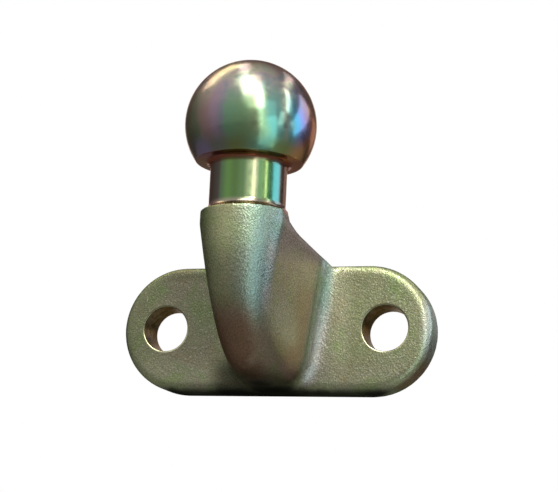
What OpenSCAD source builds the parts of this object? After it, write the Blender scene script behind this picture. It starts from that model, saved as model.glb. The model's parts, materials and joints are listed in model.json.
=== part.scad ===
// One-piece forged tow ball with a two-hole flange.
// Origin: middle of the rear mounting face, between the two bolt holes.
// X runs along the bolt holes, Y points back out of the mounting face, Z is up.

/* [Ball and neck] */
// diameter of the coupling ball
ball_d = 50; // [45:0.5:60]
// height of the ball centre above the bolt line
ball_height = 70.5; // [66:0.5:110]
// distance of the ball centre in front of the mounting face
ball_reach = 57.5; // [52:0.5:80]
// how far the flat underside lies below the ball centre
ball_flat_drop = 14.9; // [13:0.1:17]
// rounding between the ball and its flat underside
ball_edge_r = 1; // [0.4:0.1:1.8]
// diameter of the turned neck
neck_d = 29; // [24:0.5:31]
// fillet between the neck and the underside of the ball
neck_top_fillet = 2.5; // [0.5:0.1:3]
// fillet turned where the neck meets the shank
neck_root_fillet = 3.3; // [1.5:0.1:3.4]

/* [Flange] */
// distance between the bolt hole centres
hole_spacing = 90; // [80:0.5:100]
// diameter of the bolt holes
hole_d = 18; // [10:0.5:22]
// broken edge around the bolt holes
hole_edge = 0.3; // [0.1:0.1:1]
// overall width of the flange
flange_w = 126.5; // [116:0.5:160]
// overall height of the flange, also the diameter of its round ends
flange_h = 50.5; // [46:0.5:53]
// thickness of the flange
flange_t = 15.5; // [10:0.5:20]
// rounding of the front edge of the flange
front_edge_r = 3.5; // [1:0.1:5]
// rounding of the rear edge of the flange
rear_edge_r = 1; // [0.2:0.1:3]

/* [Shank] */
// diameter of the round nose of the shank under the neck
nose_d = 35; // [33:0.5:38]
// radius of the nose half way down its front curve
waist_r = 11.3; // [9:0.1:15]
// radius of the nose where the shank runs out at the foot of the flange
toe_r = 15; // [12:0.1:18]
// height of the turned shoulder that the neck stands on
shoulder_z = 36; // [35.5:0.1:40]
// half width of the shank where it reaches the flange, at the top
root_half_w = 20; // [17:0.5:24]
// height of the top of the shank at the flange
saddle_z = 29.2; // [28:0.1:31]
// rise of the top of the shank from the flange to the nose
saddle_rise = 5.8; // [3:0.1:6]
// rounding of the upper side edges of the shank
saddle_edge_r = 3; // [1:0.1:4]
// sideways width of the fillet between the shank and the flange
root_fillet_w = 6.5; // [3:0.1:9]
// depth of that fillet in front of the flange
root_fillet_d = 6; // [3:0.1:9]
// how far the front curve of the shank starts straight down
nose_pull = 40; // [30:0.5:46]
// how far the front curve runs level at the foot
toe_pull = 32; // [20:0.5:38]

/* [Hidden] */

$fn = 72;
neck_r = neck_d / 2;
nose_r = nose_d / 2;
// small overlap that keeps two faces from lying in one plane
overlap = 0.05;

// side view of the shank, as [y, z]: all its sections turn about the pivot
pivot = [-flange_t - root_fillet_d, saddle_z - saddle_edge_r];
nose_y = -ball_reach - nose_r;
nose_z = pivot[1] + saddle_rise;
floor_z = -flange_h / 2 + overlap;
front_line = [[nose_y, nose_z], [nose_y, nose_z - nose_pull],
    [pivot[0] - toe_pull, floor_z], [pivot[0], floor_z]];

// turn from straight ahead at which the nose ends and the flat side begins, at the top, and
// the share of the front line over which the crease between them fades out
crease_top = 67;
crease_run = 0.48;

// the turn of the rearmost shoulder point, and of the one half way to the nose
rear_turn_max = 173;
rear_turn_mid = 137;

// shoulder around the rear of the neck, as [share of its height, distance outside the neck]
shoulder = [[1, -0.4], [0.84, -0.1], [0.76, 0.5], [0.68, 1], [0.55, 1.4], [0.4, 1.7],
    [0.25, 1.95], [0.13, 2.2], [0.05, 2.6], [0.015, 3.2]];
// height that the rough forging has above the shoulder before it is turned
blank_z = shoulder_z + neck_root_fillet + 0.3;

// numbers of steps: round the nose, along a side, down the front, and in the roundings
nose_n = 28;
side_n = 9;
fan_n = 28;
edge_n = 5;
fillet_n = 7;
arc_n = 8;
cols = 2 * side_n + nose_n + 3;
flare_cols = cols + 2 * edge_n;

function mix(a, b, t) = a + (b - a) * t;
function ease(t) = let (u = min(max(t, 0), 1)) u * u * (3 - 2 * u);
function arc(cx, cy, r, from, to, n) =
    [for (i = [0:n]) let (a = mix(from, to, i / n)) [cx + r * cos(a), cy + r * sin(a)]];

function front_pt(t) = pow(1 - t, 3) * front_line[0] + 3 * pow(1 - t, 2) * t * front_line[1]
    + 3 * (1 - t) * t * t * front_line[2] + pow(t, 3) * front_line[3];
function nose_rad(t) = let (middle = 2 * waist_r - (nose_r + toe_r) / 2)
    pow(1 - t, 2) * nose_r + 2 * (1 - t) * t * middle + t * t * toe_r;
// turn at which the flat side runs into the nose without a crease
function smooth_turn(t) =
    let (back = norm(front_pt(t) - pivot) - nose_rad(t))
    atan2(back, root_half_w) + asin(nose_rad(t) / norm([root_half_w, back]));
function crease(t) = mix(crease_top, smooth_turn(t), ease(t / crease_run));
crease_foot = smooth_turn(1);

// columns run from the left end of the pivot, round the nose, to its right end
function is_nose(j) = j > side_n && j < cols - 1 - side_n;
function hand(j) = j < cols / 2 ? -1 : 1;
function side_at(j) = (hand(j) < 0 ? j : cols - 1 - j) / (side_n + 1);
function nose_turn(j, t) = mix(-crease(t), crease(t), (j - side_n - 1) / nose_n);

// point of column j on the section that meets the front line at t
function section_pt(j, t) =
    let (reach = norm(front_pt(t) - pivot), dir = (front_pt(t) - pivot) / reach, r = nose_rad(t),
        edge_s = reach - r + r * cos(crease(t)), edge_x = r * sin(crease(t)),
        s = is_nose(j) ? reach - r + r * cos(nose_turn(j, t)) : edge_s * side_at(j),
        x = is_nose(j) ? r * sin(nose_turn(j, t)) : hand(j) * mix(root_half_w, edge_x, side_at(j)))
    [x, pivot[0] + s * dir[0], pivot[1] + s * dir[1]];

// upper edge rounding: it fades out where the side runs up beside the neck
function tuck(j) = is_nose(j) ? 0 : 1 - 0.92 * ease((side_at(j) - 0.5) / 0.3);
function edge_pt(j, k) =
    let (p = section_pt(j, 0), a = 90 * k / edge_n,
        draw_in = tuck(j) * saddle_edge_r * (1 - cos(a)))
    [p[0] - hand(j) * draw_in, p[1], p[2] + saddle_edge_r * sin(a)];

// shoulder: the nose goes straight up, the rest closes in on the neck
function saddle_at(y) = saddle_z + saddle_rise * (pivot[0] - y) / (pivot[0] - nose_y);
function rear_turn(s) = rear_turn_max - 2 * (rear_turn_max - rear_turn_mid) * s
    - (2 * rear_turn_mid - rear_turn_max - crease_top) * max(0, 2 * s - 1);
function shoulder_pt(j, m) =
    let (p = edge_pt(j, edge_n), share = shoulder[m][0], s = side_at(j),
        r = neck_r + shoulder[m][1] * (1 - 0.4 * ease((s - 0.6) / 0.3)),
        x = hand(j) * r * sin(rear_turn(s)), y = -ball_reach - r * cos(rear_turn(s)))
    is_nose(j) ? [p[0], p[1], mix(p[2], blank_z, share)]
        : [x, y, mix(saddle_at(y), blank_z, share)];

// flare from the shank into the flange, as [turn of the fillet, share of the way on into
// the flange, top height, edge rounding]
flare_top = flange_h / 2 + 1.2;
flare_edge_r = saddle_edge_r + 2.5;
flare = concat(
    [for (i = [1:fillet_n]) let (a = 90 * i / fillet_n, u = 1 - cos(a))
        [a, 0, mix(saddle_z, flare_top, u), mix(saddle_edge_r, flare_edge_r, u)]],
    [for (i = [1:3]) [90, i / 3, flare_top - 1.7 * sin(30 * i), flare_edge_r]]);

// the lower edge of the flare is rounded like the front edge of the flange: its rounding
// starts at foot_turn, reaches the level floor at floor_turn and draws back by foot_back
foot_r = front_edge_r + 0.4;
foot_n = nose_n / 4;
function floor_turn(grow) = acos(toe_r / (toe_r + grow));
function foot_turn(grow) = acos((toe_r - foot_r) / (toe_r + grow));
function foot_back(h) =
    let (up = foot_r - min(h, foot_r)) foot_r - sqrt(foot_r * foot_r - up * up);
function flare_turn(k, grow) =
    k <= foot_n ? mix(floor_turn(grow), foot_turn(grow), (k - 1) / (foot_n - 1))
        : mix(foot_turn(grow), crease_foot, (k - foot_n) / (nose_n / 2 - foot_n));

// point of a nose column of the flare, k columns from the middle one
function toe_pt(side, k, b, into) =
    let (grow = root_fillet_w * (1 - cos(b)), r = toe_r + grow, turn = flare_turn(k, grow),
        up = k == 0 ? 0 : toe_r - r * cos(turn), depth = root_fillet_d * sin(b),
        y = mix(pivot[0] + depth + foot_back(up) * pow(sin(b), 2), -flange_t / 2, into))
    [k == 0 ? 0 : side * r * sin(turn), y, floor_z + up];

// front view of the last section: the side line runs down to the nose edge
nose_edge = section_pt(side_n + 1, 1);
side_dir = [sin(crease_foot), -cos(crease_foot)];
function side_xz(s) = [mix(root_half_w, -nose_edge[0], s), mix(pivot[1], nose_edge[2], s)];
function flare_pt(c, f) =
    let (b = flare[f][0], into = flare[f][1], top = flare[f][2], er = flare[f][3],
        j = min(max(c - edge_n, 0), cols - 1),
        a = 90 * max(edge_n - c, c - edge_n - cols + 1, 0) / edge_n,
        start = (pivot[1] - top + er) / (pivot[1] - nose_edge[2]),
        q = side_xz(mix(start, 1, side_at(j))) + root_fillet_w * (1 - cos(b)) * side_dir,
        y = mix(pivot[0] + root_fillet_d * sin(b), -flange_t / 2, into))
    is_nose(j) ? toe_pt(hand(j), abs(j - (cols - 1) / 2), b, into)
        : [hand(j) * (q[0] - er * (1 - cos(a))), y, q[1] + er * sin(a)];

// points of the shank: shoulder rows, edge rounding rows, the fan of sections, the flare
shoulder_n = len(shoulder);
last_row = shoulder_n + edge_n;
fan_base = (last_row + 1) * cols;
flare_base = fan_base + fan_n * (cols - 2);
shank_points = concat(
    [for (m = [0:shoulder_n - 1]) for (j = [0:cols - 1]) shoulder_pt(j, m)],
    [for (k = [edge_n:-1:0]) for (j = [0:cols - 1]) edge_pt(j, k)],
    [for (i = [1:fan_n]) for (j = [1:cols - 2]) section_pt(j, i / fan_n)],
    [for (f = [0:len(flare) - 1]) for (c = [0:flare_cols - 1]) flare_pt(c, f)]);

function row_id(a, j) = a * cols + j;
function fan_id(i, j) = i == 0 ? row_id(last_row, j) : fan_base + (i - 1) * (cols - 2) + j - 1;
function flare_start_id(c) =
    c <= edge_n ? row_id(shoulder_n + c, 0)
    : c >= edge_n + cols - 1 ? row_id(last_row - (c - edge_n - cols + 1), cols - 1)
    : fan_id(fan_n, c - edge_n);
function flare_id(f, c) = f == 0 ? flare_start_id(c) : flare_base + (f - 1) * flare_cols + c;

shank_faces = concat(
    [[for (j = [cols - 1:-1:0]) row_id(0, j)]],
    [for (a = [0:last_row - 1]) for (j = [0:cols - 2])
        [row_id(a, j), row_id(a, j + 1), row_id(a + 1, j + 1), row_id(a + 1, j)]],
    [for (a = [0:shoulder_n - 1])
        [row_id(a, cols - 1), row_id(a, 0), row_id(a + 1, 0), row_id(a + 1, cols - 1)]],
    [for (i = [0:fan_n - 1]) for (j = [1:cols - 3])
        [fan_id(i, j), fan_id(i, j + 1), fan_id(i + 1, j + 1), fan_id(i + 1, j)]],
    [for (i = [0:fan_n - 1]) [row_id(last_row, 0), fan_id(i, 1), fan_id(i + 1, 1)]],
    [for (i = [0:fan_n - 1])
        [row_id(last_row, cols - 1), fan_id(i + 1, cols - 2), fan_id(i, cols - 2)]],
    [for (f = [0:len(flare) - 1]) for (c = [0:flare_cols - 1]) let (d = (c + 1) % flare_cols)
        [flare_id(f, c), flare_id(f, d), flare_id(f + 1, d), flare_id(f + 1, c)]],
    [[for (c = [0:flare_cols - 1]) flare_id(len(flare), c)]]);

// material that the lathe takes off above the shoulder
module lathe_cut() {
    r = neck_root_fillet;
    inner = neck_r - 2 * overlap;
    translate([0, -ball_reach, shoulder_z]) rotate_extrude() polygon(concat(
        arc(inner + r, r, r, 270, 180, arc_n),
        [[inner, 3 * r], [2 * nose_r, 3 * r], [2 * nose_r, 0]]));
}

module shank() {
    difference() {
        polyhedron(points = shank_points, faces = shank_faces, convexity = 6);
        lathe_cut();
    }
}

// half section of the flange, as [distance from its middle, depth from the rear face]
flange_profile = let (half = flange_h / 2) concat(
    [[0, 0]],
    arc(half - rear_edge_r, rear_edge_r, rear_edge_r, 270, 360, arc_n / 2),
    arc(half - front_edge_r, flange_t - front_edge_r, front_edge_r, 0, 90, arc_n),
    [[0, flange_t]]);

module flange_end() {
    translate([(flange_w - flange_h) / 2, 0, 0]) rotate([90, 0, 0]) rotate([0, 0, -90])
        rotate_extrude(angle = 180) polygon(flange_profile);
}

module flange_half_bar() {
    rotate([90, 0, 0]) rotate([90, 0, 90])
        linear_extrude(height = flange_w - flange_h, center = true) polygon(flange_profile);
}

module flange() {
    flange_end();
    mirror([1, 0, 0]) flange_end();
    flange_half_bar();
    mirror([0, 0, 1]) flange_half_bar();
}

module bolt_hole() {
    r = hole_d / 2;
    wide = r + 2 * hole_edge;
    rotate([90, 0, 0]) {
        translate([0, 0, -1]) cylinder(h = flange_t + 2, r = r);
        translate([0, 0, flange_t - hole_edge]) cylinder(h = 2 * hole_edge, r1 = r, r2 = wide);
        translate([0, 0, -hole_edge]) cylinder(h = 2 * hole_edge, r1 = wide, r2 = r);
    }
}

// ball with its flat underside; the rounding touches the ball and the flat
module ball() {
    ball_r = ball_d / 2;
    in_r = ball_r - ball_edge_r;
    edge_z = ball_edge_r - ball_flat_drop;
    edge_x = sqrt(in_r * in_r - edge_z * edge_z);
    edge_turn = atan2(edge_z, edge_x);
    cut_z = ball_r * sin(edge_turn);
    rotate_extrude() {
        intersection() {
            circle(r = ball_r);
            translate([0, cut_z]) square([ball_d, ball_d]);
        }
        polygon(concat([[0, edge_z + ball_edge_r], [0, -ball_flat_drop]],
            arc(edge_x, edge_z, ball_edge_r, -90, edge_turn, arc_n / 2),
            [[edge_x, edge_z + ball_edge_r]]));
    }
}

module neck() {
    foot_z = floor_z + flange_h - ball_height;
    top_z = neck_top_fillet - ball_flat_drop;
    rotate_extrude() polygon(concat(
        [[0, top_z], [0, foot_z], [neck_r, foot_z]],
        arc(neck_r + neck_top_fillet, -ball_flat_drop - neck_top_fillet, neck_top_fillet,
            180, 90, arc_n),
        [[neck_r + neck_top_fillet, top_z]]));
}

module tow_ball() {
    color([0.62, 0.62, 0.42]) difference() {
        union() {
            flange();
            shank();
            translate([0, -ball_reach, ball_height]) {
                ball();
                neck();
            }
        }
        for (x = [-hole_spacing / 2, hole_spacing / 2]) translate([x, 0, 0]) bolt_hole();
    }
}

tow_ball();
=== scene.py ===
"""Ball hitch: a forged and plated tow ball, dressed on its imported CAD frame."""

import json
import math

import bpy
from bpy.props import FloatProperty, FloatVectorProperty, PointerProperty
from mathutils import Matrix, Vector


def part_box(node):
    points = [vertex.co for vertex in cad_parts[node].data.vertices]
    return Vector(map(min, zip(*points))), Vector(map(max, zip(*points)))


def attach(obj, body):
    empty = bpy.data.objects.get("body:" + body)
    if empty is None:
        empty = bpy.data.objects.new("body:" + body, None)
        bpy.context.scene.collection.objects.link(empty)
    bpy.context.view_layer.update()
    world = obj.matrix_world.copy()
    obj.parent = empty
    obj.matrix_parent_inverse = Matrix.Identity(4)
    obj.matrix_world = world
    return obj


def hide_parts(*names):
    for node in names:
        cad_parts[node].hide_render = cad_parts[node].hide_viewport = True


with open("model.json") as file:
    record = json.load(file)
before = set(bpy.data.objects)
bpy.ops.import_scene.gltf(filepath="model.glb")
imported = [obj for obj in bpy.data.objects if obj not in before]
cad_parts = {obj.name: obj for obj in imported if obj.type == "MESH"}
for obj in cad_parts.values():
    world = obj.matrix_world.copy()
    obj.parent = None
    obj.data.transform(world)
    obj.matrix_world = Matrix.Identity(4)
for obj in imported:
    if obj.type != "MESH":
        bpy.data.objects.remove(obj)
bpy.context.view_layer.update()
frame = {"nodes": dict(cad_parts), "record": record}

bl_info = {
    "name": "Ball hitch",
    "version": (1, 0, 0),
    "blender": (4, 5, 0),
    "location": "View3D > Sidebar > Ball hitch",
    "description": "Builds the looks of a forged tow ball on its CAD frame",
    "category": "Add Mesh",
}

NODE = "tow_ball"
FORGED, TURNED, DRILLED = 0, 1, 2
MM = 0.001
NEAR = 0.02 * MM

mount = {each["name"]: each for each in frame["record"]["mounts"]}
box_low, box_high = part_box(NODE)
ball_centre = Vector(mount["ball"]["pos_m"])
hole_radius = mount["right_hole"]["dims"]["r_mm"] * MM
hole_middle_y = mount["right_hole"]["pos_m"][1]
hole_x = mount["bolts"]["dims"]["spacing_x_mm"] * MM / 2
flange_depth = -2 * hole_middle_y


def length(name, description, default):
    """A length property, in metres."""
    return FloatProperty(
        name=name, description=description, default=default, subtype="DISTANCE", unit="LENGTH")


def colour(name, description, default):
    """A colour property."""
    return FloatVectorProperty(
        name=name, description=description, default=default, subtype="COLOR", min=0, max=1)


def strength(name, description, default):
    """A plain number that may not be negative."""
    return FloatProperty(name=name, description=description, default=default, min=0)


class TurnedSizes(bpy.types.PropertyGroup):
    """Sizes of the surfaces that the lathe leaves"""

    ball_radius: length("Ball radius", "Radius of the coupling ball", box_high[2] - ball_centre.z)
    flat_drop: length("Flat below centre", "Depth of the underside below the centre", 14.9 * MM)
    rim_round: length("Rim rounding", "Rounding between the ball and its underside", 1 * MM)
    neck_radius: length("Neck radius", "Radius of the turned neck", 14.5 * MM)
    top_fillet: length("Upper fillet", "Fillet between neck and underside", 2.5 * MM)
    root_fillet: length("Root fillet", "Fillet turned where the neck meets the forging", 3.3 * MM)
    shoulder_z: length("Shoulder height", "Height of the shoulder above the bolt line", 36 * MM)


class ForgedSizes(bpy.types.PropertyGroup):
    """Sizes of the forged skin"""

    grain: length("Skin grain", "Size of the faces that the skin is rebuilt from", 0.6 * MM)
    hole_edge: length("Hole rounding", "Rounding at both edges of each bolt hole", 0.7 * MM)
    pit_size: length("Pit size", "Distance between the pits that shot blasting leaves", 0.8 * MM)


class PlatingColours(bpy.types.PropertyGroup):
    """Colours of the iridescent yellow zinc plating on the forged skin, and of the painted
    highlights, reflections, glints and shade laid over it
    """

    olive: colour("Olive", "Main colour of the plating", (0.40, 0.42, 0.25))
    green: colour("Green", "Greener clouds", (0.34, 0.42, 0.21))
    straw: colour("Straw", "Yellow clouds", (0.50, 0.49, 0.30))
    # Painted highlight: pale yellow where the overhead light falls high on the nose.
    gilt_highlight: colour("Gilt", "Pale yellow high on the nose", (0.78, 0.81, 0.45))
    # Painted reflection of blue light down the nose's right side.
    slate_reflection: colour("Slate", "Blue-grey down the nose's right", (0.41, 0.60, 0.62))
    # Flat sides: the plating's mauve-brown, with painted shade making them darker towards the foot
    # and lighter towards the top.
    cocoa: colour("Cocoa", "Flat sides, at the foot", (0.46, 0.32, 0.25))
    fawn: colour("Fawn", "Flat sides, low", (0.62, 0.50, 0.43))
    dove: colour("Dove", "Flat sides, half way up", (0.62, 0.52, 0.47))
    rose: colour("Rose", "Flat sides, high", (0.70, 0.58, 0.52))
    clay: colour("Clay", "Flat sides, at the top", (0.76, 0.62, 0.55))
    tan: colour("Tan", "Rear part of the flat sides", (0.66, 0.46, 0.36))
    # A lighter band where the nose turns into the flat side.
    pale_crease: colour("Worn", "Rubbed line where nose and flat side meet", (0.84, 0.76, 0.70))
    mauve: colour("Mauve", "Flange, between the left hole and the shank", (0.42, 0.36, 0.30))
    # Painted light: the flange right of the shank lighter, on the plating's yellow-green.
    lit_lime: colour("Lime", "Flange, right of the shank", (0.73, 0.82, 0.47))
    # Painted highlight on the flange close beside the right fillet.
    lemon_highlight: colour("Lemon", "Flange, close beside the right fillet", (0.95, 0.98, 0.68))
    # Painted light: the flange lighter towards its lower edge.
    lit_sage: colour("Sage", "Flange, lower part", (0.56, 0.56, 0.38))
    # Painted shadow in the corner left of the foot.
    shadow: colour("Shadow", "Grime in the corner left of the foot", (0.09, 0.09, 0.06))
    # Painted shade: the flange darker along its upper left edge.
    moss_shade: colour("Moss", "Flange, along the upper left edge", (0.24, 0.26, 0.15))
    # Painted reflection: the right end of the flange pale blue-white.
    pearl_reflection: colour("Pearl", "Right end of the flange", (0.84, 0.90, 0.84))
    rust: colour("Rust", "Side wall at the lower right", (0.56, 0.36, 0.24))
    # Painted highlight along the right fillet: teal at the top, lilac at the foot, pale where it
    # leaves the shank.
    teal_highlight: colour("Teal", "Right fillet, at the top", (0.38, 0.50, 0.44))
    lilac_highlight: colour("Lilac", "Right fillet, at the foot", (0.60, 0.58, 0.56))
    mist_highlight: colour("Mist", "Right fillet, where it leaves the shank", (0.60, 0.62, 0.57))
    # Painted shade: brown, darker low on the nose.
    brown_shade: colour("Soil", "Brown low on the nose", (0.44, 0.36, 0.27))
    # Painted shade: red-brown and patchy, low on the nose's left.
    umber_shade: colour("Umber", "Red-brown stain low on the nose's left", (0.27, 0.16, 0.11))
    # Painted shade: dark brown under the foot.
    foot_shade: colour("Tar", "Dark brown under the foot", (0.07, 0.045, 0.035))
    # Painted shadow: nearly black on the underside and lower edges.
    shadow_black: colour("Soot", "Nearly black grime on the underside", (0.008, 0.008, 0.007))
    # Painted glints: small bright specks on the flange.
    glint_colour: colour("Fleck", "Bright flecks on the flange", (0.92, 0.93, 0.74))


class StudioValues(bpy.types.PropertyGroup):
    """Light levels and the floor of the studio"""

    key: strength("Overhead window", "Brightness of the large window overhead", 5.0)
    room: strength("Room", "Brightness of the room in front of the object", 0.40)
    glow: strength("Ceiling glow", "Extra brightness overhead, on the left", 0.15)
    floor_z: length("Floor height", "Height of the floor, below the camera", -0.9)


def deselect():
    """Leaves edit mode, with no object selected."""
    if bpy.context.object and bpy.context.object.mode != "OBJECT":
        bpy.ops.object.mode_set(mode="OBJECT")
    bpy.ops.object.select_all(action="DESELECT")


def activate(piece, *others):
    """Selects these objects only, the first one active."""
    deselect()
    for each in (piece, *others):
        each.select_set(True)
    bpy.context.view_layer.objects.active = piece


def settle(piece):
    """Puts an object at the origin, with its place in its mesh."""
    activate(piece)
    bpy.ops.object.transform_apply(location=True, rotation=True, scale=True)


def modify(piece, kind, **settings):
    """Adds a modifier and applies it."""
    activate(piece)
    modifier = piece.modifiers.new(kind.title(), kind)
    for key, value in settings.items():
        setattr(modifier, key, value)
    bpy.ops.object.modifier_apply(modifier=modifier.name)


def select_faces(piece, chosen):
    """In edit mode, selects only the faces for which chosen(centre, normal) is true."""
    bpy.ops.mesh.select_mode(type="FACE")
    bpy.ops.mesh.select_all(action="DESELECT")
    bpy.ops.object.mode_set(mode="OBJECT")
    for face in piece.data.polygons:
        face.select = chosen(face.center, face.normal)
    bpy.ops.object.mode_set(mode="EDIT")


def select_ring(piece, radius, z):
    """In edit mode, selects only the edges of a level ring round the ball's axis."""
    bpy.ops.mesh.select_mode(type="EDGE")
    bpy.ops.mesh.select_all(action="DESELECT")
    bpy.ops.object.mode_set(mode="OBJECT")
    on_ring = [
        abs(v.co.z - z) < NEAR and abs(from_axis(v.co) - radius) < 5 * NEAR
        for v in piece.data.vertices]
    for edge in piece.data.edges:
        edge.select = all(on_ring[end] for end in edge.vertices)
    bpy.ops.object.mode_set(mode="EDIT")


def from_axis(point):
    """Distance of a point from the axis of the ball and neck."""
    return math.hypot(point.x - ball_centre.x, point.y - ball_centre.y)


def extrude(y=0.0, z=0.0):
    """Extrudes the selected faces by a step."""
    bpy.ops.mesh.extrude_region_move(TRANSFORM_OT_translate={"value": (0.0, y, z)})


def turned_part(sizes):
    """Ball and neck: a sphere cut flat below, with the neck drawn down out of the flat."""
    deselect()
    bpy.ops.mesh.primitive_uv_sphere_add(
        segments=160, ring_count=112, radius=sizes.ball_radius, location=ball_centre)
    piece = bpy.context.object
    settle(piece)
    flat_z = ball_centre.z - sizes.flat_drop
    flat_radius = math.sqrt(sizes.ball_radius**2 - sizes.flat_drop**2)
    bpy.ops.object.mode_set(mode="EDIT")
    bpy.ops.mesh.select_all(action="SELECT")
    bpy.ops.mesh.bisect(
        plane_co=(0, 0, flat_z), plane_no=(0, 0, 1), use_fill=True, clear_inner=True)
    select_faces(piece, lambda centre, normal: centre.z < flat_z + NEAR)
    bpy.ops.mesh.inset(thickness=flat_radius - sizes.neck_radius)
    extrude(z=sizes.shoulder_z - sizes.root_fillet - flat_z)
    select_ring(piece, sizes.neck_radius, flat_z)
    bpy.ops.mesh.bevel(offset=sizes.top_fillet, segments=8)
    rim_turn = math.pi / 2 - math.asin(sizes.flat_drop / sizes.ball_radius)
    select_ring(piece, flat_radius, flat_z)
    bpy.ops.mesh.bevel(offset=sizes.rim_round * math.tan(rim_turn / 2), segments=5)
    deselect()
    return piece


def lathe_cutter(sizes):
    """What the lathe clears above the shoulder: a disc with the root fillet as a pocket below."""
    reach = 24 * MM
    height = 15 * MM
    deselect()
    bpy.ops.mesh.primitive_cylinder_add(
        vertices=160, radius=reach, depth=height,
        location=(ball_centre.x, ball_centre.y, sizes.shoulder_z + height / 2))
    cutter = bpy.context.object
    settle(cutter)
    bpy.ops.object.mode_set(mode="EDIT")
    select_faces(cutter, lambda centre, normal: normal.z < -0.9)
    mouth = sizes.neck_radius + sizes.root_fillet
    bpy.ops.mesh.inset(thickness=reach - mouth)
    steps = 12
    radius = mouth
    for step in range(1, steps + 1):
        turn = math.radians(90 * step / steps)
        before = math.radians(90 * (step - 1) / steps)
        extrude(z=sizes.root_fillet * (math.cos(before) - math.cos(turn)))
        narrower = mouth - sizes.root_fillet * math.sin(turn)
        share = narrower / radius
        bpy.ops.transform.resize(
            value=(share, share, 1), center_override=(ball_centre.x, ball_centre.y, 0))
        radius = narrower
    deselect()
    return cutter


def drill(x, edge):
    """A drill for one bolt hole, flared at each face to round the edge over."""
    deselect()
    bpy.ops.mesh.primitive_cylinder_add(
        vertices=96, radius=hole_radius, depth=flange_depth - 2 * edge,
        location=(x, hole_middle_y, 0), rotation=(math.pi / 2, 0, 0))
    cutter = bpy.context.object
    settle(cutter)
    bpy.ops.object.mode_set(mode="EDIT")
    steps = 5
    last_degrees = 88
    for side in (-1, 1):
        radius = hole_radius
        for step in range(1, steps + 1):
            turn = math.radians(last_degrees * step / steps)
            before = math.radians(last_degrees * (step - 1) / steps)
            select_faces(cutter, lambda centre, normal: normal.y * side > 0.99)
            extrude(y=side * edge * (math.sin(turn) - math.sin(before)))
            wider = hole_radius + edge * (1 - math.cos(turn))
            share = wider / radius
            bpy.ops.transform.resize(value=(share, 1, share), center_override=(x, 0, 0))
            radius = wider
        extrude(y=side * 2 * MM)
    deselect()
    return cutter


def cut(piece, cutter):
    """Takes a cutter out of a piece, and deletes the cutter."""
    modify(piece, "BOOLEAN", object=cutter, operation="DIFFERENCE", solver="EXACT")
    bpy.data.objects.remove(cutter)


def forged_part(turned, sizes):
    """Shank and flange: the CAD skin rebuilt in even faces, softened, then machined again."""
    piece = bpy.data.objects.new("forged_part", frame["nodes"][NODE].data.copy())
    bpy.context.scene.collection.objects.link(piece)
    piece.data.materials.clear()
    activate(piece)
    bpy.ops.object.mode_set(mode="EDIT")
    bpy.ops.mesh.select_all(action="SELECT")
    bpy.ops.mesh.remove_doubles(threshold=NEAR / 20)
    stock_top = turned.shoulder_z + 2 * turned.root_fillet
    bpy.ops.mesh.bisect(
        plane_co=(0, 0, stock_top), plane_no=(0, 0, 1), use_fill=True, clear_outer=True)
    deselect()
    stock_depth = 14 * MM
    bpy.ops.mesh.primitive_cylinder_add(
        vertices=96, radius=turned.neck_radius + 1 * MM, depth=stock_depth,
        location=(ball_centre.x, ball_centre.y, stock_top - stock_depth / 2))
    stock = [bpy.context.object]
    for x in (-hole_x, hole_x):
        bpy.ops.mesh.primitive_cylinder_add(
            vertices=96, radius=hole_radius + 2 * sizes.hole_edge, depth=flange_depth,
            location=(x, hole_middle_y, 0), rotation=(math.pi / 2, 0, 0))
        stock.append(bpy.context.object)
    activate(piece, *stock)
    bpy.ops.object.join()
    modify(piece, "REMESH", mode="VOXEL", voxel_size=sizes.grain)
    modify(piece, "SMOOTH", factor=0.5, iterations=5)
    cut(piece, lathe_cutter(turned))
    for x in (-hole_x, hole_x):
        cut(piece, drill(x, sizes.hole_edge))
    return piece


class Nodes:
    """Adds shader nodes to one material."""

    def __init__(self, name):
        self.material = bpy.data.materials.new(name)
        self.material.use_nodes = True
        self.tree = self.material.node_tree
        self.surface = self.tree.nodes["Principled BSDF"]

    def plug(self, socket, value):
        """Sets an input to a number or colour, or links another node's output to it."""
        if isinstance(value, bpy.types.NodeSocket):
            self.tree.links.new(value, socket)
        else:
            socket.default_value = value

    def add(self, kind, *values, settings=None, **named):
        """A node, its first inputs set in order and others by name."""
        node = self.tree.nodes.new("ShaderNode" + kind)
        for key, value in (settings or {}).items():
            setattr(node, key, value)
        for place, value in enumerate(values):
            self.plug(node.inputs[place], value)
        for key, value in named.items():
            self.plug(node.inputs[key], value)
        return node

    def sum(self, operation, *values):
        """The result of one sum."""
        return self.add("Math", *values, settings={"operation": operation}).outputs[0]

    def noise(self, place, size, detail=2.0, warp=0.0):
        """Soft clouds of this size, in metres."""
        node = self.add("TexNoise", Vector=place, Scale=1 / size, Detail=detail, Distortion=warp)
        return node.outputs["Fac"]

    def ramp(self, value, stops):
        """A colour ramp through (position, colour) stops."""
        node = self.add("ValToRGB", value)
        node.color_ramp.interpolation = "EASE"
        elements = node.color_ramp.elements
        while len(elements) < len(stops):
            elements.new(1.0)
        for element, (position, shade) in zip(elements, stops):
            element.position = position
            element.color = (*shade, 1.0)
        return node.outputs["Color"]

    def blend(self, share, first, second, mode="MIX"):
        """Two colours mixed."""
        node = self.add("Mix", share, settings={"data_type": "RGBA", "blend_type": mode})
        for socket, value in ((node.inputs[6], first), (node.inputs[7], second)):
            self.plug(socket, value if isinstance(value, bpy.types.NodeSocket) else (*value, 1.0))
        return node.outputs[2]

    def span(self, value, low, high, first=0.0, last=1.0):
        """Moves smoothly from first to last as the value goes from low to high."""
        node = self.add(
            "MapRange", value, low, high, first, last,
            settings={"interpolation_type": "SMOOTHSTEP"})
        return node.outputs[0]

    def product(self, first, *others):
        """Values multiplied together."""
        for other in others:
            first = self.sum("MULTIPLY", first, other)
        return first


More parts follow.
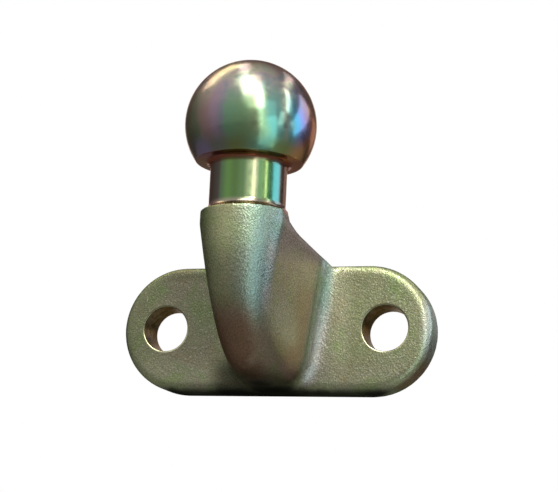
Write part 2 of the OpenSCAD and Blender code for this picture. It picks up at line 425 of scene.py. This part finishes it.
def object_place(nodes):
    """Object coordinates, and their x, y and z."""
    place = nodes.add("TexCoord").outputs["Object"]
    parts = nodes.add("SeparateXYZ", place).outputs
    return place, parts[0], parts[1], parts[2]


def forged_plating(colours, sizes):
    """Yellow zinc plating on a shot-blasted forging: grainy, satin, clouded green to umber, with
    painted highlights, reflections, glints and shade.
    """
    nodes = Nodes("forged_plating")
    place, x, y, z = object_place(nodes)
    side = nodes.sum("ABSOLUTE", x)
    drift = nodes.noise(place, 12 * MM, 3.0, 0.5)

    def zone(*edges):
        """One inside a region, each edge fading from zero to one between two places in mm."""
        return nodes.product(
            *(nodes.span(value, outside * MM, inside * MM) for value, outside, inside in edges))

    # Painted highlight high on the nose, where the overhead light falls.
    crown_highlight = zone((x, -14, 0), (z, 12, 27), (y, -56, -64))
    # Painted reflection of blue light down the nose's right side.
    nose = zone((x, -4, 11), (z, -20, 0), (y, -56, -64))
    flat = zone((side, 8, 11), (y, -67, -60), (y, -18, -24))
    corner = nodes.product(zone((x, 10.5, 13.5), (z, 27, 18), (y, -56, -64)), 0.6)
    sides = nodes.sum("MAXIMUM", nodes.product(flat, 0.95), corner)
    rear = nodes.product(flat, zone((y, -44, -30), (z, 20, 8)))
    # A lighter band where the nose turns into the flat side.
    crease = zone((x, 8.5, 11.5), (x, 15.5, 13), (z, 12, 0), (z, -13, -6), (y, -26, -34))
    front = zone((y, -20, -16.5), (y, -1, -6))
    inner_left = nodes.product(front, zone((x, -52, -40), (x, -22, -27)))
    # Painted light: the flange right of the shank lighter.
    right = nodes.product(front, zone((x, 18, 28)))
    # Painted highlight beside the right fillet, weaker lower down.
    beside = nodes.product(
        front, zone((x, 18, 22), (x, 34, 26)), nodes.span(z, -12 * MM, 14 * MM, 0.6, 1.0))
    # Painted light: the flange lighter towards its lower edge.
    lower = nodes.product(front, zone((z, -7, -19)))
    # Painted shadow in the corner left of the nose's foot.
    foot_corner_shadow = nodes.product(front, zone((x, -28, -19), (x, 12, 6), (z, -8, -18)))
    # Painted shade: the flange darker along its upper left edge.
    upper_left_shade = nodes.product(front, zone((z, 18, 23), (x, 5, -5)))
    # Painted reflection: the right end of the flange pale blue-white.
    right_end_reflection = zone((x, 58, 62), (y, 0, -3))
    lower_wall = zone((y, -13.5, -10), (y, 0, -4), (x, 44, 54), (z, -6, -15))
    # Painted highlight along the right fillet.
    root = zone((x, 12, 15), (x, 26, 22), (y, -25, -20), (y, -15.2, -16))
    # Painted shade: brown, darker low on the nose.
    nose_foot_shade = zone((z, 4, -11), (y, -30, -48), (x, 13, 9))
    # Painted shade: red-brown, broken up by noise, low on the nose's left.
    patchy_shade = nodes.product(
        zone((z, 8, -9), (y, -30, -48), (x, 10, 2)), nodes.span(drift, 0.1, 0.4))
    # Painted shade: dark brown under the foot.
    under_foot_shade = zone((z, -17, -24), (y, -15.5, -19))
    # Painted shadow along the bottom: nearly black, with a wavy upper edge.
    wavy_z = nodes.sum("MULTIPLY_ADD", drift, 3 * MM, z)
    painted_shadow = nodes.product(zone((wavy_z, -19.5, -24)), 0.97)

    # Flat sides: mauve-brown plating, with painted shade darker towards the foot and lighter
    # towards the top.
    uneven_z = nodes.sum("MULTIPLY_ADD", drift, 0.3, zone((z, -24, 32)))
    flat_tint_and_shade = nodes.ramp(uneven_z, [
        (0.15, colours.cocoa), (0.40, colours.fawn), (0.68, colours.dove),
        (0.86, colours.rose), (1.0, colours.clay)])
    # Colours of the painted highlight along the right fillet.
    root_highlight = nodes.blend(zone((z, 12, -4)), colours.teal_highlight, colours.lilac_highlight)
    root_highlight = nodes.blend(zone((y, -17.5, -19.5)), root_highlight, colours.mist_highlight)

    clouds = nodes.noise(place, 22 * MM, 2.0, 0.3)
    tint = nodes.ramp(clouds, [
        (0.34, colours.green), (0.50, colours.olive), (0.66, colours.straw)])
    # Patches over the plating; most of them are painted highlights, reflections and shade.
    for region, share, patch in (
            (crown_highlight, 1.0, colours.gilt_highlight), (nose, 0.8, colours.slate_reflection), (sides, 1.0, flat_tint_and_shade),
            (rear, 0.7, colours.tan), (crease, 0.7, colours.pale_crease),
            (inner_left, 0.5, colours.mauve), (right, 0.45, colours.lit_lime),
            (beside, 0.9, colours.lemon_highlight), (lower, 0.8, colours.lit_sage),
            (foot_corner_shadow, 0.85, colours.shadow), (upper_left_shade, 0.7, colours.moss_shade),
            (right_end_reflection, 0.9, colours.pearl_reflection), (lower_wall, 0.8, colours.rust),
            (root, 0.9, root_highlight), (nose_foot_shade, 0.85, colours.brown_shade),
            (patchy_shade, 0.92, colours.umber_shade), (under_foot_shade, 0.78, colours.foot_shade),
            (painted_shadow, 1.0, colours.shadow_black)):
        tint = nodes.blend(nodes.product(region, share), tint, patch)

    mottle = nodes.noise(place, 9 * MM, 4.0, 0.6)
    hues = nodes.ramp(mottle, [
        (0.34, (0.84, 1.0, 0.72)), (0.47, (0.97, 0.99, 0.93)), (0.56, (1.0, 0.97, 0.96)),
        (0.68, (1.0, 0.92, 0.84))])
    mottled = nodes.span(y, -24 * MM, -18 * MM, 0.4, 0.8)
    tint = nodes.blend(mottled, tint, hues, "MULTIPLY")
    speckle = nodes.noise(place, 0.55 * MM, 2.0)
    shades = nodes.ramp(speckle, [
        (0.34, (0.68, 0.68, 0.66)), (0.52, (0.92, 0.92, 0.91)), (0.64, (1.0, 1.0, 1.0))])
    tint = nodes.blend(1.0, tint, shades, "MULTIPLY")
    # Painted glints: small bright specks on the flange, kept out of the painted shadow left of the
    # foot.
    glint_spots = nodes.span(nodes.noise(place, 0.9 * MM, 2.0), 0.60, 0.70)
    painted_glints = nodes.product(
        glint_spots, zone((z, -24, -18), (y, -24, -17)),
        nodes.span(foot_corner_shadow, 0.5, 0.0), nodes.span(x, -30 * MM, 20 * MM, 0.35, 0.6))
    tint = nodes.blend(painted_glints, tint, colours.glint_colour, "SCREEN")
    nodes.plug(nodes.surface.inputs["Base Color"], tint)

    # Where the painted shadow lies, the metal turns to a dull black non-metal.
    nodes.plug(nodes.surface.inputs["Metallic"], nodes.span(painted_shadow, 0.1, 0.7, 1.0, 0.0))
    nodes.surface.inputs["Specular IOR Level"].default_value = 0.0
    nodes.surface.inputs["Specular Tint"].default_value = (0.35, 0.35, 0.33, 1.0)
    dull = nodes.span(nodes.noise(place, 1.4 * MM, 3.0), 0.3, 0.7, 0.30, 0.44)
    dullest = nodes.sum("MAXIMUM", dull, nodes.product(painted_shadow, 0.7))
    nodes.plug(nodes.surface.inputs["Roughness"], dullest)
    pits = nodes.add(
        "TexVoronoi", Vector=place, Scale=1 / sizes.pit_size, Smoothness=0.5,
        settings={"feature": "SMOOTH_F1"})
    fine = nodes.noise(place, 0.5 * MM, 3.0)
    relief = nodes.sum("ADD", pits.outputs["Distance"], nodes.product(fine, 0.8))
    bump = nodes.add("Bump", Strength=0.65, Distance=0.14 * MM, Height=relief)
    swells = nodes.noise(place, 6 * MM, 2.0)
    waves = nodes.add(
        "Bump", Strength=0.4, Distance=0.3 * MM, Height=swells, Normal=bump.outputs[0])
    nodes.plug(nodes.surface.inputs["Normal"], waves.outputs[0])
    return nodes.material


def degrees_ramp(nodes, share, stops):
    """A ramp whose stops stand at degrees round the ball's axis, from -180 to 180."""
    return nodes.ramp(share, [(0.5 + turn / 360, shade) for turn, shade in stops])


def turned_plating(sizes):
    """The same plating on turned steel: glossy, its colour drifting round the ball and neck, with
    painted reflections and shade in that colour.
    """
    nodes = Nodes("turned_plating")
    place, x, y, z = object_place(nodes)
    ahead = nodes.sum("SUBTRACT", ball_centre.y, y)
    turn = nodes.sum("ARCTAN2", x, ahead)
    height = nodes.sum("SUBTRACT", z, ball_centre.z)
    sway = nodes.sum("SUBTRACT", nodes.noise(place, 14 * MM, 2.0), 0.5)
    share = nodes.sum("MULTIPLY_ADD", turn, 0.5 / math.pi, 0.5)
    drifting = nodes.sum("MULTIPLY_ADD", sway, 0.08, share)
    # Colours round the ball: the plating's iridescent film, with the coloured bands of the
    # reflected lights painted in.
    ball = degrees_ramp(nodes, drifting, [
        (-180, (0.46, 0.40, 0.20)), (-130, (0.30, 0.42, 0.24)), (-85, (0.42, 0.50, 0.34)),
        (-60, (0.20, 0.27, 0.18)), (-42, (0.24, 0.28, 0.18)), (-33, (0.38, 0.28, 0.24)),
        (-25, (0.44, 0.28, 0.28)), (-17, (0.46, 0.33, 0.42)), (-11, (0.34, 0.36, 0.40)),
        (-3, (0.27, 0.50, 0.30)), (10, (0.30, 0.50, 0.26)), (18, (0.38, 0.52, 0.28)),
        (25, (0.46, 0.76, 0.46)), (33, (0.30, 0.76, 0.66)), (41, (0.34, 0.72, 0.64)),
        (48, (0.52, 0.68, 0.58)), (54, (0.20, 0.50, 0.52)), (60, (0.17, 0.56, 0.80)),
        (68, (0.36, 0.42, 0.80)), (75, (0.50, 0.34, 0.52)), (82, (0.60, 0.30, 0.20)),
        (105, (0.46, 0.36, 0.16)), (145, (0.30, 0.44, 0.26)), (180, (0.46, 0.40, 0.20))])
    # Painted highlight: paler, pinker colours over the upper part of the ball.
    wisps = nodes.noise(place, 9 * MM, 3.0, 0.4)
    upper_highlight_tint = nodes.ramp(wisps, [
        (0.34, (0.50, 0.54, 0.44)), (0.46, (0.68, 0.62, 0.50)), (0.56, (0.64, 0.50, 0.50)),
        (0.68, (0.42, 0.42, 0.46))])
    ball = nodes.blend(nodes.product(nodes.span(height, -2 * MM, 15 * MM), 0.9), ball, upper_highlight_tint)
    # Low on the ball: the plating's violet, green and orange hues, darkened as painted shade.
    low_ball_tint_and_shade = nodes.ramp(share, [
        (0.30, (0.30, 0.36, 0.28)), (0.40, (0.30, 0.24, 0.40)), (0.45, (0.20, 0.21, 0.18)),
        (0.51, (0.21, 0.24, 0.09)), (0.58, (0.18, 0.38, 0.28)), (0.64, (0.32, 0.42, 0.14)),
        (0.71, (0.84, 0.46, 0.20)), (0.76, (0.34, 0.22, 0.12))])
    ball = nodes.blend(nodes.product(nodes.span(height, -7 * MM, -13.5 * MM), 0.95), ball, low_ball_tint_and_shade)
    # Colours round the neck: the plating's film, with painted reflection stripes, the yellow-white
    # highlight near 27 degrees and the dark stripes beside it.
    neck = degrees_ramp(nodes, share, [
        (-180, (0.42, 0.36, 0.18)), (-120, (0.34, 0.42, 0.22)), (-80, (0.24, 0.21, 0.18)),
        (-33, (0.18, 0.16, 0.14)), (-25, (0.22, 0.36, 0.18)), (-14, (0.26, 0.50, 0.15)),
        (-3, (0.23, 0.40, 0.14)), (9, (0.30, 0.50, 0.22)), (19, (0.62, 0.80, 0.42)),
        (27, (0.88, 0.88, 0.54)), (34, (0.32, 0.56, 0.25)), (43, (0.54, 0.84, 0.32)),
        (50, (0.16, 0.46, 0.20)), (58, (0.17, 0.62, 0.54)), (67, (0.20, 0.58, 0.54)),
        (75, (0.24, 0.19, 0.16)), (110, (0.40, 0.32, 0.20)), (150, (0.34, 0.42, 0.24))])
    # The ball's flat underside: the plating's red-brown, darkened as painted shade.
    below = nodes.span(height, -14.4 * MM, -15.4 * MM)
    film = nodes.blend(below, ball, (0.26, 0.08, 0.05))
    film = nodes.blend(nodes.span(height, -15.4 * MM, -18 * MM), film, neck)
    foot = nodes.span(height, -30.5 * MM, -33 * MM)
    film = nodes.blend(nodes.product(foot, 0.8), film, (0.56, 0.42, 0.38))
    nodes.plug(nodes.surface.inputs["Base Color"], film)
    nodes.surface.inputs["Metallic"].default_value = 1.0
    nodes.surface.inputs["Specular Tint"].default_value = (0.85, 0.6, 0.52, 1.0)
    dull = nodes.noise(place, 3 * MM, 3.0)
    nodes.plug(nodes.surface.inputs["Roughness"], nodes.span(dull, 0.3, 0.7, 0.16, 0.25))
    ripple = nodes.noise(place, 4 * MM, 2.0)
    bump = nodes.add("Bump", Strength=0.25, Distance=0.06 * MM, Height=ripple)
    level = nodes.add("CombineXYZ", 0.0, 0.0, z).outputs[0]
    rings = nodes.noise(level, 0.5 * MM, 2.0)
    girth = nodes.product(turn, sizes.ball_radius)
    drawn_out = nodes.add("CombineXYZ", girth, 0.0, nodes.product(height, 0.12)).outputs[0]
    brushed = nodes.noise(drawn_out, 0.9 * MM)
    marks = nodes.blend(nodes.span(height, -15 * MM, -17 * MM), brushed, rings)
    lines = nodes.add(
        "Bump", Strength=0.3, Distance=0.015 * MM, Height=marks, Normal=bump.outputs[0])
    nodes.plug(nodes.surface.inputs["Normal"], lines.outputs[0])
    return nodes.material


def drilled_plating():
    """Plating on the walls of the drilled holes: brown, with fine drill marks and a painted
    highlight on the lower rim.
    """
    nodes = Nodes("drilled_plating")
    place, x, y, z = object_place(nodes)
    marks = nodes.noise(place, 2 * MM, 2.0)
    tint = nodes.ramp(marks, [(0.35, (0.20, 0.16, 0.09)), (0.65, (0.36, 0.29, 0.17))])
    tint = nodes.blend(nodes.span(z, 1 * MM, -7 * MM, 0.0, 0.8), tint, (0.50, 0.45, 0.40))
    across = nodes.sum("SUBTRACT", nodes.sum("ABSOLUTE", x), hole_x)
    square = nodes.sum("ADD", nodes.product(across, across), nodes.product(z, z))
    out = nodes.sum("POWER", square, 0.5)
    rim = nodes.span(out, hole_radius + NEAR, hole_radius + 0.1 * MM)
    # Painted highlight: a bright cream rim at the lower edge of each hole, olive above.
    lower_rim_highlight = nodes.blend(nodes.span(z, 2 * MM, -4 * MM), (0.36, 0.36, 0.22), (0.98, 0.96, 0.60))
    tint = nodes.blend(rim, tint, lower_rim_highlight)
    nodes.plug(nodes.surface.inputs["Base Color"], tint)
    nodes.surface.inputs["Metallic"].default_value = 1.0
    nodes.surface.inputs["Specular Tint"].default_value = (0.5, 0.37, 0.27, 1.0)
    nodes.plug(nodes.surface.inputs["Roughness"], nodes.span(rim, 0, 1, 0.32, 0.2))
    rings = nodes.noise(nodes.add("CombineXYZ", 0.0, y, 0.0).outputs[0], 0.5 * MM, 1.0)
    bump = nodes.add("Bump", Strength=0.3, Distance=0.05 * MM, Height=rings)
    nodes.plug(nodes.surface.inputs["Normal"], bump.outputs[0])
    return nodes.material


class MESH_OT_plated_tow_ball(bpy.types.Operator):
    """Builds the tow ball's skin: forged shank and flange, turned neck and ball, drilled holes"""

    bl_idname = "mesh.plated_tow_ball"
    bl_label = "Plated tow ball"

    def execute(self, context):
        scene = context.scene
        turned = scene.hitch_turned
        forged = scene.hitch_forged
        colours = scene.hitch_colours
        skin = forged_part(turned, forged)
        lathe = turned_part(turned)
        lathe_top = turned.shoulder_z + turned.root_fillet
        mouth = turned.neck_radius + turned.root_fillet

        def finish_of(centre, normal):
            """Which finish a face of the forged part has: forged, turned or drilled."""
            off = from_axis(centre)
            drop = lathe_top - centre.z
            if centre.z > turned.shoulder_z - NEAR:
                wall = mouth - math.sqrt(max(turned.root_fillet**2 - drop**2, 0))
                if off < wall + 3 * NEAR or (abs(normal.z) > 0.99 and drop > -NEAR):
                    return TURNED
            bolt = math.hypot(abs(centre.x) - hole_x, centre.z)
            if bolt < hole_radius + 1.05 * forged.hole_edge and centre.y > -flange_depth - NEAR:
                return DRILLED
            return FORGED

        finishes = (
            forged_plating(colours, forged), turned_plating(turned), drilled_plating())
        for piece in (skin, lathe):
            piece.data.materials.clear()
            for material in finishes:
                piece.data.materials.append(material)
        for face in lathe.data.polygons:
            face.material_index = TURNED
        for face in skin.data.polygons:
            face.material_index = finish_of(face.center, face.normal)
        activate(skin, lathe)
        bpy.ops.object.join()
        skin.name = "plated_tow_ball"
        bpy.ops.object.shade_smooth_by_angle(angle=math.radians(32))
        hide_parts(NODE)
        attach(skin, "root")
        return {"FINISHED"}


def heading(azimuth, elevation):
    """Unit vector: azimuth 0 points ahead of the flange, 90 to its right, in degrees."""
    a, e = math.radians(azimuth), math.radians(elevation)
    return Vector((math.sin(a) * math.cos(e), -math.cos(a) * math.cos(e), math.sin(e)))


def soft_box(name, start, end, wide, level, shade=(1.0, 1.0, 1.0)):
    """A soft box seen from the ball: from one heading to another, this many degrees wide."""
    distance = 0.9
    first, last = heading(*start), heading(*end)
    out = (first + last).normalized()
    along = (last - first).normalized()
    bpy.ops.object.light_add(type="AREA", location=ball_centre + out * distance)
    lamp = bpy.context.object
    lamp.name = name
    lamp.rotation_euler = Matrix((along.cross(out), along, out)).transposed().to_euler()
    lamp.data.shape = "RECTANGLE"
    lamp.data.size = 2 * distance * math.tan(math.radians(wide / 2))
    lamp.data.size_y = 2 * distance * math.tan(first.angle(last) / 2)
    lamp.data.energy = level * math.pi * lamp.data.size * lamp.data.size_y
    lamp.data.color = shade


class SCENE_OT_hitch_studio(bpy.types.Operator):
    """Adds the pale floor, the room, the soft boxes and the camera of the photograph"""

    bl_idname = "scene.hitch_studio"
    bl_label = "Studio"

    def execute(self, context):
        studio = context.scene.hitch_studio_values
        context.scene.view_settings.view_transform = "Standard"
        camera = photo_camera(context.scene)
        self.room(context.scene, studio, camera)
        self.floor(studio)
        warm, cool, cream = (1.0, 0.98, 0.95), (0.75, 0.88, 1.0), (1.0, 0.96, 0.84)
        soft_box("overhead_glow", (25, 16), (-22, 78), 32, 0.20 * studio.key, warm)
        soft_box("overhead_left", (10, 38), (-16, 76), 15, 0.5 * studio.key, warm)
        soft_box("overhead_right", (31, 17), (24, 62), 12, 0.7 * studio.key, warm)
        soft_box("window_top", (-24, 76), (-150, 58), 8, 0.32 * studio.key, warm)
        soft_box("tall_strip", (32, 18), (36, -18), 7, 1.4, (1.0, 1.0, 0.9))
        soft_box("tall_strip_foot", (36, -18), (40, -46), 7, 0.7, (0.8, 1.0, 1.0))
        soft_box("low_panel", (50, 4), (60, -46), 23, 0.72, (0.68, 0.98, 1.0))
        soft_box("middle_panel", (50, 30), (50, 5), 18, 0.22, (0.8, 1.0, 1.0))
        soft_box("right_strip", (100, 50), (81, 15), 7, 2.6, cream)
        soft_box("right_strip_foot", (72, 14), (68, -8), 6, 1.4, cream)
        soft_box("right_top_strip", (108, 52), (168, 46), 7, 1.3, cream)
        soft_box("sky_window", (138, 32), (94, -6), 22, 1.1, cool)
        soft_box("rear_panel", (160, 18), (156, 2), 20, 0.5, (0.95, 0.9, 1.0))
        soft_box("left_top_strip", (-96, 42), (-142, 60), 18, 1.7, (1.0, 0.97, 0.60))
        return {"FINISHED"}

    def room(self, scene, studio, camera):
        """A grey room, brighter in front, with a white wall behind as the camera sees it."""
        world = bpy.data.worlds.new("room")
        scene.world = world
        world.use_nodes = True
        tree = world.node_tree
        place = tree.nodes.new("ShaderNodeTexCoord")
        view = camera.matrix_world.to_3x3() @ Vector((0, 0, -1))

        def level(towards, low, high, first, last):
            """Strength that grows smoothly as a heading comes near this one."""
            facing = tree.nodes.new("ShaderNodeVectorMath")
            facing.operation = "DOT_PRODUCT"
            facing.inputs[1].default_value = towards
            tree.links.new(place.outputs["Generated"], facing.inputs[0])
            span = tree.nodes.new("ShaderNodeMapRange")
            span.interpolation_type = "SMOOTHSTEP"
            tree.links.new(facing.outputs["Value"], span.inputs[0])
            for number, value in enumerate((low, high, first, last), 1):
                span.inputs[number].default_value = value
            return span.outputs[0]

        def together(operation, first, second):
            """Two strengths put together."""
            both = tree.nodes.new("ShaderNodeMath")
            both.operation = operation
            tree.links.new(first, both.inputs[0])
            tree.links.new(second, both.inputs[1])
            return both.outputs[0]

        front = level(heading(-10, 35), -0.4, 0.8, 0.3 * studio.room, studio.room)
        horizon = level(Vector((0, 0, 1)), -0.05, 0.22, 0.8, 1.0)
        front = together("MULTIPLY", front, horizon)
        glow = level(heading(-50, 68), 0.5, 0.98, 0, studio.glow)
        wall = level(view, math.cos(math.radians(23)), math.cos(math.radians(14)), 0, 1)
        backdrop = tree.nodes["Background"]
        backdrop.inputs["Color"].default_value = (1, 1, 1, 1)
        tree.links.new(
            together("MAXIMUM", together("ADD", front, glow), wall), backdrop.inputs["Strength"])

    def floor(self, studio):
        """A plain pale floor, well below the object."""
        deselect()
        bpy.ops.mesh.primitive_circle_add(
            vertices=96, radius=6.0, fill_type="NGON", location=(0, 0, studio.floor_z))
        ground = bpy.context.object
        ground.name = "studio_floor"
        nodes = Nodes("pale_floor")
        nodes.surface.inputs["Base Color"].default_value = (0.48, 0.48, 0.47, 1)
        nodes.surface.inputs["Roughness"].default_value = 0.9
        ground.data.materials.append(nodes.material)


def photo_camera(scene):
    """The camera of the photograph: a long lens, a little below and to the right."""
    azimuth, elevation, roll = 16.192, -12.487, 2.515
    distance = 643.3 * MM
    target = Vector((-3.586, 0, 36.855)) * MM
    back = heading(azimuth, elevation)
    right = Vector((math.cos(math.radians(azimuth)), math.sin(math.radians(azimuth)), 0))
    level = Matrix((right, back.cross(right), back)).transposed()
    turned = level @ Matrix.Rotation(math.radians(roll), 3, "Z")
    bpy.ops.object.camera_add()
    camera = bpy.context.object
    camera.name = "photo_camera"
    camera.matrix_world = Matrix.Translation(target + back * distance) @ turned.to_4x4()
    camera.data.sensor_width = 36
    camera.data.lens = 101.3
    camera.data.clip_start = 0.05
    camera.data.clip_end = 20
    scene.camera = camera
    bpy.context.view_layer.update()
    return camera


class VIEW3D_PT_ball_hitch(bpy.types.Panel):
    """Lists the steps that dress the ball hitch, and what a user would change"""

    bl_label = "Ball hitch"
    bl_space_type = "VIEW_3D"
    bl_region_type = "UI"
    bl_category = "Ball hitch"

    def draw(self, context):
        for group in (
                context.scene.hitch_turned, context.scene.hitch_forged,
                context.scene.hitch_colours, context.scene.hitch_studio_values):
            box = self.layout.box()
            for key in group.bl_rna.properties.keys():
                if key not in ("rna_type", "name"):
                    box.prop(group, key)
        for step in STEPS:
            self.layout.operator(step.bl_idname)


STEPS = (MESH_OT_plated_tow_ball, SCENE_OT_hitch_studio)
GROUPS = {
    "hitch_turned": TurnedSizes,
    "hitch_forged": ForgedSizes,
    "hitch_colours": PlatingColours,
    "hitch_studio_values": StudioValues,
}


def register():
    for each in (*GROUPS.values(), *STEPS, VIEW3D_PT_ball_hitch):
        bpy.utils.register_class(each)
    for key, group in GROUPS.items():
        setattr(bpy.types.Scene, key, PointerProperty(type=group))


def unregister():
    for key in GROUPS:
        delattr(bpy.types.Scene, key)
    for each in reversed((*GROUPS.values(), *STEPS, VIEW3D_PT_ball_hitch)):
        bpy.utils.unregister_class(each)


def main():
    """Runs the steps in order."""
    register()
    bpy.ops.mesh.plated_tow_ball()
    bpy.ops.scene.hitch_studio()


if __name__ == "__main__":
    main()
